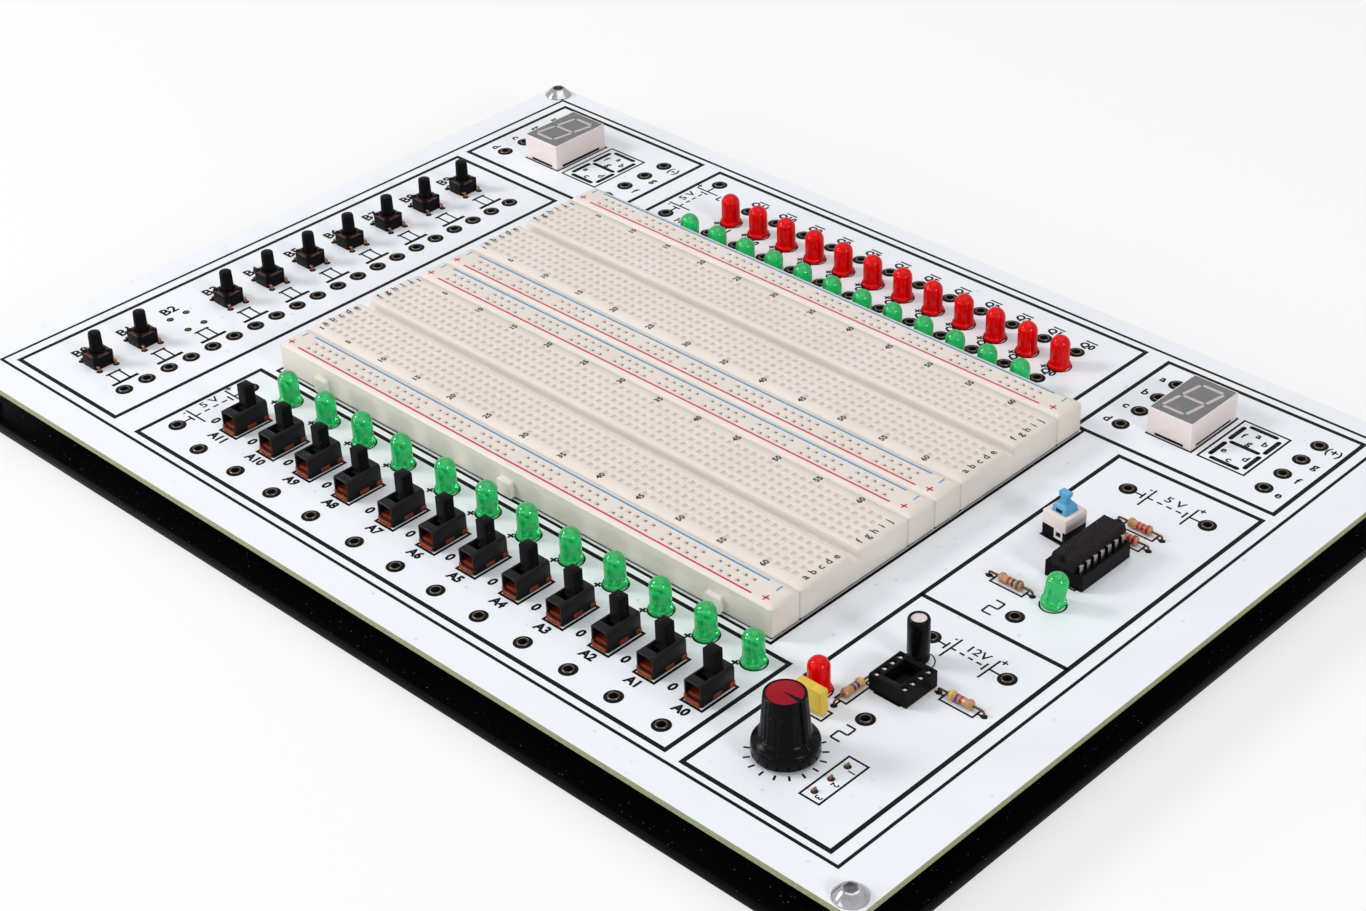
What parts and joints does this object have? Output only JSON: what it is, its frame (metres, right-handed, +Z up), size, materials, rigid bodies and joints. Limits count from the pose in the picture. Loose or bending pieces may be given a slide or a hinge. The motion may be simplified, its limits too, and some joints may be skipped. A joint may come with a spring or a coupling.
{
  "type": "breadboard electronics trainer",
  "caption": "Flat electronics trainer: a white printed board on standoffs over a black plate, with breadboards, switches, buttons, lamps, displays and small circuits.",
  "frame": {"origin": "centre of the base plate's underside", "axes": "+X along the breadboards' numbering, +Y towards the lamp row, +Z up"},
  "size_m": [0.3, 0.209, 0.0302],
  "materials": {
    "black_panel": "glossy black sheet",
    "standoff_metal": "plated steel",
    "screw_steel": "polished steel",
    "board_white": "white printed laminate with a black print",
    "ivory_plastic": "moulded ivory plastic",
    "foam_pad": "adhesive foam",
    "tinned_metal": "tinned metal",
    "green_lens": "translucent green resin",
    "red_lens": "translucent red resin",
    "phenolic": "brown phenolic sheet",
    "black_plastic": "moulded black plastic",
    "black_sheet": "blackened sheet metal",
    "display_shell": "moulded white plastic",
    "display_grey": "grey face with pale segments",
    "white_plastic": "moulded white plastic",
    "chip_black": "moulded epoxy",
    "resistor_coat": "tan lacquer with colour bands",
    "yellow_plastic": "moulded yellow plastic",
    "can_sleeve": "black sleeve with a pale end",
    "pot_metal": "plated steel",
    "lever_plastic": "moulded black plastic",
    "blue_plastic": "moulded blue plastic",
    "knob_black": "ribbed black plastic",
    "knob_crimson": "crimson cap with a black pointer",
    "shaft_metal": "turned aluminium"
  },
  "bodies": {
    "body": {"base_plate": "black_panel", "standoffs": "standoff_metal", "top_screws": "screw_steel", "bottom_screws": "screw_steel", "circuit_board": "board_white", "terminal_strips": "ivory_plastic", "bus_strips": "ivory_plastic", "breadboard_pads": "foam_pad", "button_sockets": "tinned_metal", "switch_sockets": "tinned_metal", "lamp_sockets": "tinned_metal", "display_sockets": "tinned_metal", "generator_sockets": "tinned_metal", "switch_lamps": "green_lens", "red_lamps": "red_lens", "green_lamps": "green_lens", "slide_switch_bases": "phenolic", "slide_switch_covers": "black_plastic", "button_bases": "black_plastic", "button_plates": "black_sheet", "button_legs": "tinned_metal", "display_housings": "display_shell", "display_faces": "display_grey", "push_switch_base": "black_plastic", "push_switch_housing": "white_plastic", "chip_sockets": "black_plastic", "chip_body": "chip_black", "chip_legs": "tinned_metal", "resistor_bodies": "resistor_coat", "component_leads": "tinned_metal", "film_capacitor": "yellow_plastic", "can_capacitor": "can_sleeve", "potentiometer_body": "pot_metal", "potentiometer_nut": "pot_metal", "potentiometer_tags": "tinned_metal"},
    "lever_0": {"slide_lever_0": "lever_plastic"},
    "lever_1": {"slide_lever_1": "lever_plastic"},
    "lever_2": {"slide_lever_2": "lever_plastic"},
    "lever_3": {"slide_lever_3": "lever_plastic"},
    "lever_4": {"slide_lever_4": "lever_plastic"},
    "lever_5": {"slide_lever_5": "lever_plastic"},
    "lever_6": {"slide_lever_6": "lever_plastic"},
    "lever_7": {"slide_lever_7": "lever_plastic"},
    "lever_8": {"slide_lever_8": "lever_plastic"},
    "lever_9": {"slide_lever_9": "lever_plastic"},
    "lever_10": {"slide_lever_10": "lever_plastic"},
    "lever_11": {"slide_lever_11": "lever_plastic"},
    "button_0": {"button_plunger_0": "black_plastic"},
    "button_1": {"button_plunger_1": "black_plastic"},
    "button_3": {"button_plunger_3": "black_plastic"},
    "button_4": {"button_plunger_4": "black_plastic"},
    "button_5": {"button_plunger_5": "black_plastic"},
    "button_6": {"button_plunger_6": "black_plastic"},
    "button_7": {"button_plunger_7": "black_plastic"},
    "button_8": {"button_plunger_8": "black_plastic"},
    "button_9": {"button_plunger_9": "black_plastic"},
    "pulse_button": {"push_switch_plunger": "blue_plastic"},
    "knob": {"knob_shaft": "shaft_metal", "knob_body": "knob_black", "knob_cap": "knob_crimson"}
  },
  "joints": [
    {"name": "slide_switch_0", "type": "slide", "parent": "body", "child": "lever_0", "axis": [0, -1, 0], "range_m": [0, 0.0025]},
    {"name": "slide_switch_1", "type": "slide", "parent": "body", "child": "lever_1", "axis": [0, -1, 0], "range_m": [0, 0.0025]},
    {"name": "slide_switch_2", "type": "slide", "parent": "body", "child": "lever_2", "axis": [0, -1, 0], "range_m": [0, 0.0025]},
    {"name": "slide_switch_3", "type": "slide", "parent": "body", "child": "lever_3", "axis": [0, -1, 0], "range_m": [0, 0.0025]},
    {"name": "slide_switch_4", "type": "slide", "parent": "body", "child": "lever_4", "axis": [0, -1, 0], "range_m": [0, 0.0025]},
    {"name": "slide_switch_5", "type": "slide", "parent": "body", "child": "lever_5", "axis": [0, -1, 0], "range_m": [0, 0.0025]},
    {"name": "slide_switch_6", "type": "slide", "parent": "body", "child": "lever_6", "axis": [0, -1, 0], "range_m": [0, 0.0025]},
    {"name": "slide_switch_7", "type": "slide", "parent": "body", "child": "lever_7", "axis": [0, -1, 0], "range_m": [0, 0.0025]},
    {"name": "slide_switch_8", "type": "slide", "parent": "body", "child": "lever_8", "axis": [0, -1, 0], "range_m": [0, 0.0025]},
    {"name": "slide_switch_9", "type": "slide", "parent": "body", "child": "lever_9", "axis": [0, -1, 0], "range_m": [0, 0.0025]},
    {"name": "slide_switch_10", "type": "slide", "parent": "body", "child": "lever_10", "axis": [0, -1, 0], "range_m": [0, 0.0025]},
    {"name": "slide_switch_11", "type": "slide", "parent": "body", "child": "lever_11", "axis": [0, -1, 0], "range_m": [0, 0.0025]},
    {"name": "push_button_0", "type": "slide", "parent": "body", "child": "button_0", "axis": [0, 0, -1], "range_m": [0, 0.00025], "stiffness_N_per_m": 800, "springref_m": -0.0005},
    {"name": "push_button_1", "type": "slide", "parent": "body", "child": "button_1", "axis": [0, 0, -1], "range_m": [0, 0.00025], "stiffness_N_per_m": 800, "springref_m": -0.0005},
    {"name": "push_button_3", "type": "slide", "parent": "body", "child": "button_3", "axis": [0, 0, -1], "range_m": [0, 0.00025], "stiffness_N_per_m": 800, "springref_m": -0.0005},
    {"name": "push_button_4", "type": "slide", "parent": "body", "child": "button_4", "axis": [0, 0, -1], "range_m": [0, 0.00025], "stiffness_N_per_m": 800, "springref_m": -0.0005},
    {"name": "push_button_5", "type": "slide", "parent": "body", "child": "button_5", "axis": [0, 0, -1], "range_m": [0, 0.00025], "stiffness_N_per_m": 800, "springref_m": -0.0005},
    {"name": "push_button_6", "type": "slide", "parent": "body", "child": "button_6", "axis": [0, 0, -1], "range_m": [0, 0.00025], "stiffness_N_per_m": 800, "springref_m": -0.0005},
    {"name": "push_button_7", "type": "slide", "parent": "body", "child": "button_7", "axis": [0, 0, -1], "range_m": [0, 0.00025], "stiffness_N_per_m": 800, "springref_m": -0.0005},
    {"name": "push_button_8", "type": "slide", "parent": "body", "child": "button_8", "axis": [0, 0, -1], "range_m": [0, 0.00025], "stiffness_N_per_m": 800, "springref_m": -0.0005},
    {"name": "push_button_9", "type": "slide", "parent": "body", "child": "button_9", "axis": [0, 0, -1], "range_m": [0, 0.00025], "stiffness_N_per_m": 800, "springref_m": -0.0005},
    {"name": "pulse_push", "type": "slide", "parent": "body", "child": "pulse_button", "axis": [0, 0, -1], "range_m": [0, 0.002], "stiffness_N_per_m": 200, "springref_m": -0.001},
    {"name": "clock_knob", "type": "hinge", "parent": "body", "child": "knob", "pos_m": [0.10825, -0.0777, 0.02], "axis": [0, 0, 1], "range_deg": [-150, 150]}
  ]
}
